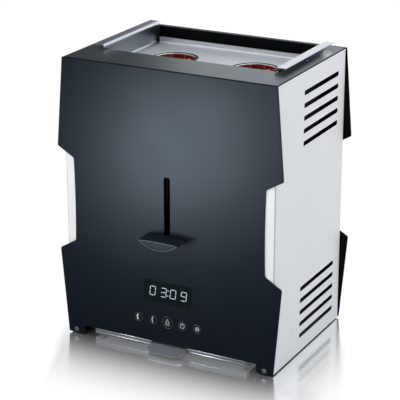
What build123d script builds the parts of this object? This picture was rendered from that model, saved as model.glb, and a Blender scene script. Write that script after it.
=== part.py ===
from build123d import *
import os
from math import cos, radians, sin

# Upright sausage grill: two round chambers in a sheet-metal casing, with a lift lever.
# Millimetres, +Z up, the front faces -Y. The origin is on the table, under the middle of the whole part.

# Casing
casing_width = 303.0  # over the two side panels
casing_height = 385.0  # table to the top frame's upper face
casing_depth = 215.0  # front plate's face to rear plate's face
plate_thickness = 2.0  # painted front and rear plates
panel_thickness = 1.2  # folded side panels
panel_flange = 20.0  # flanges along all four edges of a side panel
panel_bend = 2.0  # outer bend radius at the panel's upright corners
frame_thickness = 1.2  # top frame
frame_seam = 0.8  # open joint between the top frame and the plates
base_thickness = 1.2  # base plate
base_gap = 4.0  # base plate above the plates' bottom cut-out
shield_thickness = 0.8  # heat shields and chamber deck
floor_gap = 2.0  # rubber feet hold the sheet metal off the table
sheet_clearance = 1.0  # between sheets that pass each other

# Outline of the front and rear plates
plate_end_width = 305.0  # across the top edge and across the feet
plate_wing_width = 325.0  # across the wing corners
plate_notch_width = 277.0  # between the two side notches
wing_height = 120.0  # wing corners, from the plate's nearer end
notch_height = 134.0  # notch corners, from the plate's nearer end
notch_bow = 1.0  # how far a notch edge bows in at the middle
wing_radius = 3.0
notch_radius = 4.0
foot_width = 24.0  # plate's foot beside the bottom cut-out
foot_height = 12.0  # bottom cut-out above the plate's lower edge
foot_radius = 2.0
plate_edge_radius = 0.5  # rounding of the plates' outer edges

# Plate screws and rubber feet
screw_radius = 1.7
screw_head_radius = 3.2
screw_head_height = 1.3
screw_length = 9.0  # under the head
screw_height = 5.0  # above the plate's lower edge
hole_clearance = 0.15  # radial, round screws, rivets and stems
rubber_radius = 8.0
rubber_stem_radius = 3.0
rubber_stem_height = 3.0  # above the panel's flange
rubber_from_plate = 22.0  # rubber foot's middle behind a plate's face

# Side vents, a group low down and a group high up
vent_count = 5
vent_height = 6.5
vent_pitch = 16.6
vent_length = 108.0
vent_from_front = 82.5  # front plate's face to the vents' front end
vent_bottom_margin = 24.5  # table to the lowest vent's middle
vent_top_margin = 29.0  # highest vent's middle to the casing's top
vent_radius = 2.0

# Top recess
recess_width = 252.0
recess_front = 63.0  # front plate's face to the opening
recess_rear = 5.0  # opening to the rear plate's face
recess_depth = 20.0  # frame's upper face to the insert's floor
recess_corner = 3.0  # rounding of the recess's upright corners
ledge_width = 14.0  # shelf that carries the insert
frame_bend = 1.2  # rounding of the frame's edge round the recess

# Lift-out insert
insert_thickness = 1.2
insert_bend = 2.0  # inner bend radius
insert_side_gap = 2.5  # insert's wall to the recess's side
insert_front_gap = 2.0  # insert's front edge to the recess's front
insert_rear_gap = 11.0  # rear lip to the recess's rear
lip_height = 7.0
lip_relief = 3.5  # open corner between the rear lip and a side wall
rail_rise = 7.0  # rail's top above the frame
rail_width = 14.7  # rail's flange, from the wall's inner face
rail_overhang = 7.0  # rail's front end over the frame's front border
rail_rear_gap = 5.0  # rail's rear end to the recess's rear
rail_corner = 4.0  # rounding at the wall's lower rear corner
rail_edge = 0.4  # rounding of the rail's free edge

# Chambers
chamber_spacing = 118.0  # between the two chamber axes
chamber_from_front = 130.0  # front plate's face to the chamber axes
hole_radius = 32.0  # holes in the insert
collar_height = 2.5  # turned-down collar under each hole
collar_rim = 0.6  # rounding of the hole's rim
reflector_radius = 50.0  # inside
reflector_thickness = 0.8
deck_clearance = 1.0  # deck's upper face under the collars
passage_radius = 34.5  # through the deck and the base plate
ceramic_height = 10.0
ceramic_bore = 38.5  # inside the rings; it opens their bores, so that the heater tubes show
ceramic_fit = 0.2  # radial, ceramic ring in the reflector
ceramic_low = 20.0  # lower ring above the base plate
ceramic_high = 6.0  # upper ring below the deck
heater_count = 3
heater_radius = 4.5
heater_circle = 41.0  # heater tubes' pitch radius round the chamber axis
heater_overrun = 4.0  # heater tube beyond the ceramic rings
heater_fit = 0.1

# Wire cages
wire_radius = 1.2
cage_fit = 0.05  # radial, top ring in the collar
cage_ring_count = 4  # open rings below the closed top ring
cage_wire_count = 9
cage_open_angle = 60.0  # open front of the rings, where the lift arm passes
cage_end_angle = 10.0  # ring ends beyond the first and last wires, both together
cage_weld = 1.4  # wires stand this far inside the rings
cage_drop = 14.0  # lowest ring below the lift cup

# Lift
lift_travel = 70.0
lever_height = 161.0  # lever arm's middle above the table, at rest
slot_width = 9.0
slot_corner = 3.0
slot_margin = 6.0  # slot below the lever arm at rest
slot_headroom = 9.8  # slot above the lever arm at the top of its travel
arm_side_gap = 1.25  # lever arm to the slot's side
arm_height = 10.0
arm_fit = 0.1  # lever arm in the knob's pocket
arm_in_knob = 16.0
lever_reach = 26.0  # knob's front ahead of the front plate
knob_gap = 1.5  # knob behind to the front plate
knob_width = 56.0
knob_height = 13.0
knob_end = 2.0  # knob's height at its two ends
knob_crown = 1.0  # rise of the knob's top between its ends
knob_edge = 1.0  # rounding
cup_height = 112.0  # lift cup's underside above the table, at rest
cup_radius = 26.0
cup_thickness = 1.5
cup_rim = 5.0
cup_drain_radius = 5.0
lift_arm_width = 8.0
lift_arm_thickness = 2.0
lift_arm_gap = 4.0  # round the lift arm, in the slots that it runs in
tab_height = 20.0  # lift arm's upright tab on the carriage
tab_width = 14.0
rivet_radius = 2.0
rivet_head = 1.0
rivet_head_radius = 3.2
rivet_spacing = 10.0

# Carriage and its guides
guide_from_front = 52.0  # front plate's face to the guide rods
guide_spacing = 56.0
guide_radius = 3.0
guide_fit = 0.05  # radial running clearance
bush_radius = 5.5
block_width = 15.0  # bearing block round a bush
block_length = 40.0
carriage_thickness = 2.0
carriage_set_back = 4.0  # carriage plate's front face behind the rods
carriage_margin = 5.0  # carriage beyond the lift arms' tabs
bumper_radius = 6.0
bumper_height = 4.0
rest_gap = 0.1  # carriage above its bumpers, at rest
bracket_thickness = 2.0
bracket_width = 80.0
bracket_flange = 20.0
bracket_nose = 10.0  # bracket ahead of the rods
bracket_headroom = 20.0  # upper bracket above the raised carriage
bracket_screw_inset = 10.0  # bracket screws from the bracket's ends
bracket_screw_tail = 3.0  # bracket screw behind the heat shield
shield_from_front = 70.0  # front plate's face to the front heat shield
shield_side = 250.0  # across the side heat shields, outside
shield_rear_gap = 24.0  # rear heat shield ahead of the rear plate's face

# Controls
window_width = 70.0
window_height = 30.5
window_centre = 86.0  # above the table
window_inset = 0.2  # window's face behind the plate's face
window_fit = 0.15
window_flange = 2.0  # window's rim behind the plate
window_flange_thickness = 1.0
button_row = 45.0  # above the table
button_pitch = 21.7
button_radius = 6.75
start_radius = 8.75
button_fit = 0.25
button_proud = 0.3
button_travel = 1.0
button_flange = 1.5
button_flange_thickness = 1.0
button_flange_gap = 0.2  # flange behind the plate, at rest
button_stem_radius = 2.0
button_edge = 0.25
switch_size = 6.0
switch_depth = 3.5
switch_spare = 0.3  # pressed button's stem to its switch
board_width = 124.0
board_height = 82.0
board_thickness = 1.6
board_from_plate = 10.0  # board's front behind the plate's back
board_margin = 6.0  # standoffs from the board's edges
standoff_radius = 3.0
display_width = 64.0
display_height = 22.0

# Power side, behind the chambers
power_width = 110.0
power_height = 120.0
power_centre = 130.0  # above the table
power_standoff = 5.0
transformer_size = (42.0, 7.5, 36.0)
transformer_place = (-26.0, 24.0)  # from the power board's middle
relay_size = (20.0, 7.0, 28.0)
relay_places = ((18.0, 30.0), (42.0, 30.0))
terminal_size = (60.0, 7.5, 14.0)
terminal_place = (0.0, -46.0)
gland_across = -100.0  # from the middle
gland_height = 42.0
gland_radius = 7.0
gland_rim_radius = 10.0
gland_bore = 3.6
gland_reach = 4.0  # rim behind the rear plate
gland_inside = 5.0

# Drip tray
tray_width = 228.0
tray_depth = 186.0
tray_thickness = 1.0
tray_bend = 2.0  # outer bend radius along the tray's floor and corners
tray_rim = 0.6  # rounding of the tray's upper edge
tray_set_back = 1.5  # tray's front wall behind the front plate's back
tray_top_gap = 1.0  # under the plate's bottom cut-out
tray_hem = 5.0  # hem along the front wall's top, folded back
tray_run = 0.3  # tray above its runners and beside them
tongue_width = 52.0
tongue_reach = 17.0  # ahead of the front plate's face
tongue_radius = 13.0
runner_thickness = 1.0
runner_foot = 10.0
runner_end_gap = 6.0

# Modelling
overcut = 1.0  # a cutter runs this far past what it cuts
near = 0.01  # edges and corners this near a place lie on it

# Places that follow from these sizes
front_y = lever_reach - (lever_reach + casing_depth + gland_reach) / 2
rear_y = front_y + casing_depth
plate_back = front_y + plate_thickness
rear_plate_front = rear_y - plate_thickness
half_width = casing_width / 2
plate_bottom = floor_gap
cutout_z = plate_bottom + foot_height
base_z = cutout_z + base_gap
base_top = base_z + base_thickness
panel_top = casing_height - frame_thickness
recess_y0 = front_y + recess_front
recess_y1 = rear_y - recess_rear
insert_floor = casing_height - recess_depth
insert_under = insert_floor - insert_thickness
wall_outer = recess_width / 2 - insert_side_gap
wall_inner = wall_outer - insert_thickness
rail_outer = wall_inner + rail_width
rail_top = casing_height + rail_rise
rail_y0 = recess_y0 - rail_overhang
rail_y1 = recess_y1 - rail_rear_gap
insert_y0 = recess_y0 + insert_front_gap
lip_back = recess_y1 - insert_rear_gap
lip_bend_y = lip_back - insert_thickness - insert_bend
chamber_y = front_y + chamber_from_front
chambers = {"left": -chamber_spacing / 2, "right": chamber_spacing / 2}
deck_top = insert_under - collar_height - deck_clearance
deck_z = deck_top - shield_thickness
shield_y = front_y + shield_from_front
shield_y1 = rear_y - shield_rear_gap
ceramic_z0 = base_top + ceramic_low
ceramic_z1 = deck_z - ceramic_high - ceramic_height
cage_radius = hole_radius - cage_fit - wire_radius
arm_width = slot_width - 2 * arm_side_gap
arm_z0 = lever_height - arm_height / 2
arm_z1 = lever_height + arm_height / 2
lift_arm_z = cup_height - lift_arm_thickness
guide_y = front_y + guide_from_front
guides_x = (-guide_spacing / 2, guide_spacing / 2)
block_z = cup_height
bracket_screw_x = bracket_width / 2 - bracket_screw_inset
carriage_y = guide_y + carriage_set_back
carriage_back = carriage_y + carriage_thickness
bracket_z0 = block_z - rest_gap - bumper_height - bracket_thickness
bracket_z1 = block_z + block_length + lift_travel + bracket_headroom
low_flange_z = bracket_z0 + bracket_thickness - bracket_flange
bracket_screw_rows = (low_flange_z + bracket_flange / 2, bracket_z1 + bracket_flange / 2)
board_y = plate_back + board_from_plate
board_centre = (button_row + window_centre) / 2 + board_margin
power_board_y = shield_y1 + shield_thickness + power_standoff
power_face = power_board_y + board_thickness
runner_z = floor_gap + panel_thickness
tray_z = runner_z + runner_thickness + tray_run
tray_top = cutout_z - tray_top_gap
tray_y0 = plate_back + tray_set_back
screw_x = plate_end_width / 2 - foot_width / 2
screw_z = plate_bottom + screw_height
rubber_x = half_width - panel_thickness - rubber_radius - sheet_clearance


def block(x0, x1, y0, y1, z0, z1):
    """A box between two corners."""
    return Pos((x0 + x1) / 2, (y0 + y1) / 2, (z0 + z1) / 2) * Box(x1 - x0, y1 - y0, z1 - z0)


def post(radius, x, y, z0, z1):
    """An upright cylinder."""
    return Pos(x, y, (z0 + z1) / 2) * Cylinder(radius, z1 - z0)


def pin(radius, x, z, y0, y1):
    """A cylinder that runs front to back."""
    return Pos(x, (y0 + y1) / 2, z) * Rot(90, 0, 0) * Cylinder(radius, y1 - y0)


def well(radius, x, y, z0, z1):
    """An upright round cutter that passes both faces."""
    return post(radius, x, y, z0 - overcut, z1 + overcut)


def bore(radius, x, z, y0, y1):
    """A round cutter that runs front to back and passes both faces."""
    return pin(radius, x, z, y0 - overcut, y1 + overcut)


def stand(face, y0, y1):
    """A flat shape drawn as X and Z, standing from y0 back to y1."""
    return extrude(Plane.XZ.offset(-y0) * face, -(y1 - y0))


def group(shapes):
    """Separate solids in one node."""
    return Compound([solid for shape in shapes for solid in shape.solids()])


def corners(face, across):
    """The corner points of a flat shape that lie this far from its middle line."""
    return [corner for corner in face.vertices() if abs(abs(corner.X) - across) < near]


def plate_outline():
    """Front and rear plate's outline: feet, wings and bowed notches, alike on both sides."""
    end = plate_end_width / 2
    cut = end - foot_width
    edges = []
    for side in (-1, 1):
        foot = (side * end, plate_bottom)
        low_wing = (side * plate_wing_width / 2, plate_bottom + wing_height)
        low_notch = (side * plate_notch_width / 2, plate_bottom + notch_height)
        middle = (side * (plate_notch_width / 2 - notch_bow), (plate_bottom + casing_height) / 2)
        high_notch = (side * plate_notch_width / 2, casing_height - notch_height)
        high_wing = (side * plate_wing_width / 2, casing_height - wing_height)
        top = (side * end, casing_height)
        edges += Polyline(foot, low_wing, low_notch).edges()
        edges += ThreePointArc(low_notch, middle, high_notch).edges()
        edges += Polyline(high_notch, high_wing, top).edges()
        edges += Polyline(foot, (side * cut, plate_bottom), (side * cut, cutout_z)).edges()
    edges += Line((-end, casing_height), (end, casing_height)).edges()
    edges += Line((-cut, cutout_z), (cut, cutout_z)).edges()
    face = make_face(edges)
    face = fillet(corners(face, plate_wing_width / 2), wing_radius)
    face = fillet(corners(face, plate_notch_width / 2), notch_radius)
    face = fillet([corner for corner in corners(face, end) if corner.Y < cutout_z], foot_radius)
    return fillet(corners(face, cut), foot_radius)


def plate(y0, outer_y):
    """A plate with its foot screw holes and its outer edges rounded."""
    body = stand(plate_outline(), y0, y0 + plate_thickness)
    outer = [edge for edge in body.edges() if abs(edge.center().Y - outer_y) < near]
    body = fillet(outer, plate_edge_radius)
    for side in (-1, 1):
        body -= bore(screw_radius + hole_clearance, side * screw_x, screw_z, y0, y0 + plate_thickness)
    return body


def buttons():
    """Each button's name, place across the plate and radius."""
    names = ("dark_button", "light_button", "start_button", "timer_button", "warm_button")
    middle = (len(names) - 1) / 2
    rows = []
    for index, name in enumerate(names):
        radius = start_radius if index == middle else button_radius
        rows.append((name, (index - middle) * button_pitch, radius))
    return rows


def front_plate():
    """Front plate with the lever slot, the display window and the button holes."""
    body = plate(front_y, front_y)
    slot_z0 = arm_z0 - slot_margin
    slot_z1 = arm_z1 + lift_travel + slot_headroom
    slot = Pos(0, (slot_z0 + slot_z1) / 2) * RectangleRounded(slot_width, slot_z1 - slot_z0, slot_corner)
    window = Pos(0, window_centre) * Rectangle(window_width, window_height)
    body -= stand(slot, front_y - overcut, plate_back + overcut)
    body -= stand(window, front_y - overcut, plate_back + overcut)
    for _, x, radius in buttons():
        body -= bore(radius + button_fit, x, button_row, front_y, plate_back)
    return body


def rear_plate():
    """Rear plate with the cord gland's hole."""
    body = plate(rear_plate_front, rear_y)
    return body - bore(gland_radius, gland_across, gland_height, rear_plate_front, rear_y)


def side_panel():
    """Right side panel: a wall with four flanges, vents, screw holes and rubber foot holes."""
    x0 = half_width - panel_flange
    inner = half_width - panel_thickness
    y0 = plate_back
    y1 = rear_plate_front
    body = block(x0, half_width, y0, y1, floor_gap, panel_top)
    upright = body.edges().filter_by(Axis.Z).sort_by(Axis.X)[-2:]
    body = fillet(upright, panel_bend)
    hollow = block(
        x0 - overcut, inner, y0 + panel_thickness, y1 - panel_thickness,
        floor_gap + panel_thickness, panel_top - panel_thickness,
    )
    body -= fillet(hollow.edges().filter_by(Axis.Z).sort_by(Axis.X)[-2:], panel_bend - panel_thickness)
    vent = RectangleRounded(vent_length, vent_height, vent_radius)
    vent_plane = Plane.YZ.offset(inner - overcut)
    vent_y = front_y + vent_from_front + vent_length / 2
    for index in range(vent_count):
        low = vent_bottom_margin + index * vent_pitch
        high = casing_height - vent_top_margin - index * vent_pitch
        for z in (low, high):
            body -= extrude(vent_plane * Pos(vent_y, z) * vent, panel_thickness + 2 * overcut)
    body -= bore(screw_radius + hole_clearance, screw_x, screw_z, y0, y0 + panel_thickness)
    body -= bore(screw_radius + hole_clearance, screw_x, screw_z, y1 - panel_thickness, y1)
    for y in (front_y + rubber_from_plate, rear_y - rubber_from_plate):
        body -= well(rubber_stem_radius, rubber_x, y, floor_gap, floor_gap + panel_thickness)
    return body


def top_frame():
    """Top frame with its recess: four walls and the ledge that carries the insert."""
    y0 = plate_back + frame_seam
    y1 = rear_plate_front - frame_seam
    x = recess_width / 2
    t = frame_thickness
    body = block(-half_width, half_width, y0, y1, panel_top, casing_height)
    body += block(-x - t, x + t, recess_y0 - t, recess_y1 + t, insert_under - t, casing_height)
    recess = block(-x, x, recess_y0, recess_y1, insert_under, casing_height + overcut)
    body -= fillet(recess.edges().filter_by(Axis.Z), recess_corner)
    rim = [edge for edge in body.edges() if abs(edge.center().Z - casing_height) < near]
    rim = [edge for edge in rim if recess_y0 - near < edge.center().Y < recess_y1 + near]
    body = fillet([edge for edge in rim if abs(edge.center().X) < x + near], frame_bend)
    x -= ledge_width
    y0 = recess_y0 + ledge_width
    y1 = recess_y1 - ledge_width
    body -= block(-x, x, y0, y1, insert_under - t - overcut, insert_under + overcut)
    return body


def base_plate():
    """Base plate: a deck with two drip holes and two skirts that stand on the panels' flanges."""
    x = half_width - panel_thickness
    y0 = plate_back + panel_thickness + sheet_clearance
    y1 = rear_plate_front - panel_thickness - sheet_clearance
    body = block(-x, x, y0, y1, runner_z, base_top)
    x -= base_thickness
    body -= block(-x, x, y0 - overcut, y1 + overcut, runner_z - overcut, base_z)
    for across in chambers.values():
        body -= well(passage_radius, across, chamber_y, base_z, base_top)
    return body


def rubber_feet():
    """Four rubber feet with stems through the panels' lower flanges."""
    feet = []
    for x in (-rubber_x, rubber_x):
        for y in (front_y + rubber_from_plate, rear_y - rubber_from_plate):
            foot = post(rubber_radius, x, y, 0, floor_gap)
            feet.append(foot + post(rubber_stem_radius, x, y, 0, runner_z + rubber_stem_height))
    return group(feet)


def tray_runner():
    """Right tray runner: an angle under the base plate that carries the tray's edge."""
    x0 = tray_width / 2 + tray_run
    y0 = plate_back + runner_end_gap
    y1 = tray_y0 + tray_depth + runner_end_gap
    web = block(x0, x0 + runner_thickness, y0, y1, runner_z, base_z)
    return web + block(x0 - runner_foot, x0, y0, y1, runner_z, runner_z + runner_thickness)


def lift_slot(across, y0, y1):
    """The space that a lift arm runs in, as a cutter through a shield or a reflector."""
    half = lift_arm_width / 2 + lift_arm_gap
    z1 = cup_height + lift_travel + lift_arm_gap
    return block(across - half, across + half, y0, y1, lift_arm_z - lift_arm_gap, z1)


def heat_shields():
    """Four upright shields round the chambers, standing on the base plate."""
    x = shield_side / 2
    t = shield_thickness
    front = block(-x, x, shield_y, shield_y + t, base_top, deck_z)
    for across in chambers.values():
        front -= lift_slot(across, shield_y - overcut, shield_y + t + overcut)
    front -= bracket_screw_holes(shield_y, shield_y + t)
    return {
        "front_heat_shield": front,
        "rear_heat_shield": block(-x, x, shield_y1, shield_y1 + t, base_top, deck_z),
        "left_heat_shield": block(-x, -x + t, shield_y + t, shield_y1, base_top, deck_z),
        "right_heat_shield": block(x - t, x, shield_y + t, shield_y1, base_top, deck_z),
    }


def chamber_deck():
    """Deck over the shields, with a passage for each cage."""
    x = shield_side / 2
    body = block(-x, x, shield_y, shield_y1 + shield_thickness, deck_z, deck_top)
    for across in chambers.values():
        body -= well(passage_radius, across, chamber_y, deck_z, deck_top)
    return body


def reflector(across):
    """Bright tube round a chamber, slotted at the front for the lift arm."""
    outer = reflector_radius + reflector_thickness
    body = post(outer, across, chamber_y, base_top, deck_z)
    body -= well(reflector_radius, across, chamber_y, base_top, deck_z)
    return body - lift_slot(across, chamber_y - outer - overcut, chamber_y)


def heater_places(across):
    """Heater tube axes round a chamber, clear of its front."""
    step = 360.0 / heater_count
    angles = [radians(270.0 + step * (index + 0.5)) for index in range(heater_count)]
    return [(across + heater_circle * cos(a), chamber_y + heater_circle * sin(a)) for a in angles]


def ceramic_ring(across, z):
    """Ceramic ring that holds the heater tubes' ends."""
    body = post(reflector_radius - ceramic_fit, across, chamber_y, z, z + ceramic_height)
    body -= well(ceramic_bore, across, chamber_y, z, z + ceramic_height)
    for x, y in heater_places(across):
        body -= well(heater_radius + heater_fit, x, y, z, z + ceramic_height)
    return body


def heater_tubes(across):
    """Quartz heater tubes of one chamber."""
    z0 = ceramic_z0 - heater_overrun
    z1 = ceramic_z1 + ceramic_height + heater_overrun
    return group([post(heater_radius, x, y, z0, z1) for x, y in heater_places(across)])


def insert_section():
    """The insert's bent section: floor, two walls and two outward rail flanges."""
    t = insert_thickness
    half = [
        (wall_outer, insert_under),
        (wall_outer, rail_top - t),
        (rail_outer, rail_top - t),
        (rail_outer, rail_top),
        (wall_inner, rail_top),
        (wall_inner, insert_floor),
    ]
    other = [(-x, z) for x, z in reversed(half)]
    points = half + other
    face = make_face(Polyline(*points, points[0]).edges())
    outer = [v for v in corners(face, wall_outer) if v.Y < insert_floor]
    outer += [v for v in corners(face, wall_inner) if v.Y > casing_height]
    face = fillet(outer, insert_bend + t)
    inner = [v for v in corners(face, wall_inner) if v.Y < casing_height]
    inner += [v for v in corners(face, wall_outer) if v.Y > casing_height]
    face = fillet(inner, insert_bend)
    return fillet(corners(face, rail_outer), rail_edge)


def rear_lip():
    """The insert's turned-up rear lip with its bend."""
    t = insert_thickness
    x = wall_inner - lip_relief
    z1 = insert_floor + lip_height
    points = [
        (lip_bend_y - overcut, insert_under),
        (lip_back, insert_under),
        (lip_back, z1),
        (lip_back - t, z1),
        (lip_back - t, insert_floor),
        (lip_bend_y - overcut, insert_floor),
    ]
    face = make_face(Polyline(*points, points[0]).edges())
    face = fillet(face.vertices().sort_by(Axis.X)[-2:].sort_by(Axis.Y)[:1], insert_bend + t)
    bend = [v for v in face.vertices() if abs(v.X - lip_back + t) < near and v.Y < insert_floor + near]
    face = fillet(bend, insert_bend)
    return extrude(Plane.YZ.offset(-x) * face, 2 * x)


def insert_tray():
    """Lift-out steel insert: rails to lift it by, a floor with two collared holes, and a rear lip."""
    body = stand(insert_section(), rail_y0, rail_y1)
    wide = rail_outer + 1
    low = insert_under - 1
    body -= block(-wide, wide, rail_y0 - overcut, insert_y0, low, casing_height + sheet_clearance)
    heel = insert_floor + insert_bend
    body -= block(-wide, wide, lip_bend_y, rail_y1 + overcut, low, heel)
    rounded = [e for e in body.edges().filter_by(Axis.X) if abs(e.center().Y - rail_y1) < near]
    body = fillet([e for e in rounded if abs(e.center().Z - heel) < near], rail_corner)
    body += rear_lip()
    for across in chambers.values():
        outer = hole_radius + insert_thickness
        body += post(outer, across, chamber_y, insert_under - collar_height, insert_under)
        body -= post(hole_radius, across, chamber_y, low - collar_height, insert_floor + overcut)
    rims = body.edges().filter_by(GeomType.CIRCLE).filter_by(lambda e: abs(e.radius - hole_radius) < near)
    return fillet([rim for rim in rims if abs(rim.center().Z - insert_floor) < near], collar_rim)


def open_ring(z):
    """A cage ring with an open front, about the Z axis."""
    arc = 360.0 - cage_open_angle
    section = Plane.XZ * Pos(cage_radius, z) * Circle(wire_radius)
    return Rot(0, 0, 270.0 + cage_open_angle / 2) * revolve(section, Axis.Z, arc)


def cage(across):
    """Wire cage under one hole: a closed top ring, upright wires and rings that are open in front."""
    top = insert_under - collar_height / 2
    bottom = cup_height - cage_drop
    body = Pos(0, 0, top) * Torus(cage_radius, wire_radius)
    for index in range(cage_ring_count):
        body += open_ring(bottom + (top - bottom) * index / cage_ring_count)
    step = (360.0 - cage_open_angle - cage_end_angle) / (cage_wire_count - 1)
    reach = cage_radius - cage_weld
    for index in range(cage_wire_count):
        angle = radians(270.0 + (cage_open_angle + cage_end_angle) / 2 + step * index)
        body += post(wire_radius, reach * cos(angle), reach * sin(angle), bottom - wire_radius, top)
    return Pos(across, chamber_y, 0) * body


def guide_bracket(z, flange_z0):
    """Bracket on the front heat shield that holds the ends of both guide rods."""
    x = bracket_width / 2
    t = bracket_thickness
    y0 = guide_y - bracket_nose
    body = block(-x, x, y0, shield_y, z, z + t)
    body += block(-x, x, shield_y - t, shield_y, flange_z0, flange_z0 + bracket_flange)
    for rod_x in guides_x:
        body -= well(guide_radius, rod_x, guide_y, z, z + t)
    return body - bracket_screw_holes(shield_y - t, shield_y)


def bracket_screw_holes(y0, y1):
    """Cutters for the screws that hold both guide brackets on the front heat shield."""
    places = [(side * bracket_screw_x, z) for side in (-1, 1) for z in bracket_screw_rows]
    return [bore(screw_radius + hole_clearance, x, z, y0, y1) for x, z in places]


def bracket_screws():
    """Screws through the guide brackets' flanges and the front heat shield."""
    y0 = shield_y - bracket_thickness
    y1 = shield_y + shield_thickness + bracket_screw_tail
    screws = []
    for side in (-1, 1):
        for z in bracket_screw_rows:
            head = pin(screw_head_radius, side * bracket_screw_x, z, y0 - screw_head_height, y0)
            screws.append(head + pin(screw_radius, side * bracket_screw_x, z, y0, y1))
    return group(screws)


def guide_rods():
    """Two upright rods that the carriage slides on."""
    z1 = bracket_z1 + bracket_thickness
    return group([post(guide_radius, x, guide_y, bracket_z0, z1) for x in guides_x])


def carriage_bumpers():
    """Rubber rings on the lower bracket, where the carriage comes to rest."""
    z0 = bracket_z0 + bracket_thickness
    z1 = z0 + bumper_height
    rings = []
    for x in guides_x:
        ring = post(bumper_radius, x, guide_y, z0, z1)
        rings.append(ring - well(guide_radius + hole_clearance, x, guide_y, z0, z1))
    return group(rings)


def rivet_places(across):
    """Rivets of one lift arm's tab, as X and Z."""
    middle = lift_arm_z + tab_height / 2 + rivet_head
    return [(across, middle - rivet_spacing / 2), (across, middle + rivet_spacing / 2)]


def lift_carriage():
    """Carriage plate with a bearing block for each guide rod."""
    x = chamber_spacing / 2 + tab_width / 2 + carriage_margin
    z1 = arm_z1 + carriage_margin
    body = block(-x, x, carriage_y, carriage_back, lift_arm_z, z1)
    middle = chamber_spacing / 2 - tab_width / 2 - carriage_margin
    cut_y = carriage_y - overcut
    body -= block(-middle, middle, cut_y, carriage_back + overcut, lift_arm_z - overcut, block_z)
    for rod_x in guides_x:
        x0 = rod_x - block_width / 2
        y0 = guide_y - block_width / 2
        body += block(x0, x0 + block_width, y0, carriage_y, block_z, block_z + block_length)
        body -= well(bush_radius, rod_x, guide_y, block_z, block_z + block_length)
    for across in chambers.values():
        for rivet_x, rivet_z in rivet_places(across):
            body -= bore(rivet_radius, rivet_x, rivet_z, carriage_y, carriage_back)
    return body


def guide_bushes():
    """Plain bearing bushes in the carriage's blocks."""
    z1 = block_z + block_length
    bushes = []
    for x in guides_x:
        bush = post(bush_radius, x, guide_y, block_z, z1)
        bushes.append(bush - well(guide_radius + guide_fit, x, guide_y, block_z, z1))
    return group(bushes)


def lift_cup(across):
    """Lift cup under the sausages, with its arm and the tab that is riveted to the carriage."""
    z = cup_height
    body = post(cup_radius, across, chamber_y, z, z + cup_rim)
    body -= post(cup_radius - cup_thickness, across, chamber_y, z + cup_thickness, z + cup_rim + overcut)
    body += block(
        across - lift_arm_width / 2, across + lift_arm_width / 2,
        carriage_back, chamber_y + cup_radius / 2, lift_arm_z, z,
    )
    body -= well(cup_drain_radius, across, chamber_y, lift_arm_z, z + cup_thickness)
    tab_back = carriage_back + lift_arm_thickness
    body += block(
        across - tab_width / 2, across + tab_width / 2,
        carriage_back, tab_back, lift_arm_z, lift_arm_z + tab_height,
    )
    for rivet_x, rivet_z in rivet_places(across):
        body -= bore(rivet_radius, rivet_x, rivet_z, carriage_back, tab_back)
    return body


def lift_arm_rivets():
    """Rivets through the lift arms' tabs and the carriage."""
    y0 = carriage_y
    y1 = carriage_back + lift_arm_thickness
    rivets = []
    for across in chambers.values():
        for x, z in rivet_places(across):
            rivet = pin(rivet_radius, x, z, y0 - rivet_head, y1 + rivet_head)
            rivet += pin(rivet_head_radius, x, z, y0 - rivet_head, y0)
            rivets.append(rivet + pin(rivet_head_radius, x, z, y1, y1 + rivet_head))
    return group(rivets)


def knob_shape():
    """Lever knob's front shape: a slightly crowned top over a bowed underside."""
    x = knob_width / 2
    top = lever_height + knob_height / 2
    shoulder = top - knob_crown
    end = shoulder - knob_end
    edges = ThreePointArc((-x, shoulder), (0, top), (x, shoulder)).edges()
    edges += ThreePointArc((-x, end), (0, top - knob_height), (x, end)).edges()
    edges += Line((-x, end), (-x, shoulder)).edges()
    edges += Line((x, end), (x, shoulder)).edges()
    return make_face(edges)


def lever_knob():
    """Lever knob with the pocket that the lever arm fits."""
    y0 = front_y - lever_reach
    y1 = front_y - knob_gap
    body = stand(knob_shape(), y0, y1)
    rounded = [e for e in body.edges() if abs(e.center().Y - y0) < near or abs(e.center().Y - y1) < near]
    body = fillet(rounded, knob_edge)
    x = arm_width / 2 + arm_fit
    pocket_y = y1 - arm_in_knob - arm_fit
    return body - block(-x, x, pocket_y, y1 + overcut, arm_z0 - arm_fit, arm_z1 + arm_fit)


def lever_arm():
    """Flat bar from the carriage through the front plate's slot into the knob."""
    x = arm_width / 2
    y0 = front_y - knob_gap - arm_in_knob
    return block(-x, x, y0, carriage_y, arm_z0, arm_z1)


def display_window():
    """Display window: it fills the plate's cut-out and has a rim behind the plate."""
    width = window_width - 2 * window_fit
    height = window_height - 2 * window_fit
    pane = Pos(0, window_centre) * Rectangle(width, height)
    rim = Pos(0, window_centre) * Rectangle(
        window_width + 2 * window_flange, window_height + 2 * window_flange
    )
    body = stand(pane, front_y + window_inset, plate_back)
    return body + stand(rim, plate_back, plate_back + window_flange_thickness)


def display_module():
    """Display between its window and the control board."""
    x = display_width / 2
    z = display_height / 2
    y0 = plate_back + window_flange_thickness
    return block(-x, x, y0, board_y, window_centre - z, window_centre + z)


def button(across, radius):
    """Push button: a round cap, a flange behind the plate and a stem towards its switch."""
    cap = pin(radius, across, button_row, front_y - button_proud, plate_back + button_flange_gap)
    cap = fillet(cap.edges().sort_by(Axis.Y)[:1], button_edge)
    flange_y = plate_back + button_flange_gap
    flange_back = flange_y + button_flange_thickness
    stem_end = board_y - switch_depth - switch_spare - button_travel
    body = cap + pin(radius + button_flange, across, button_row, flange_y, flange_back)
    return body + pin(button_stem_radius, across, button_row, flange_back, stem_end)


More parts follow.
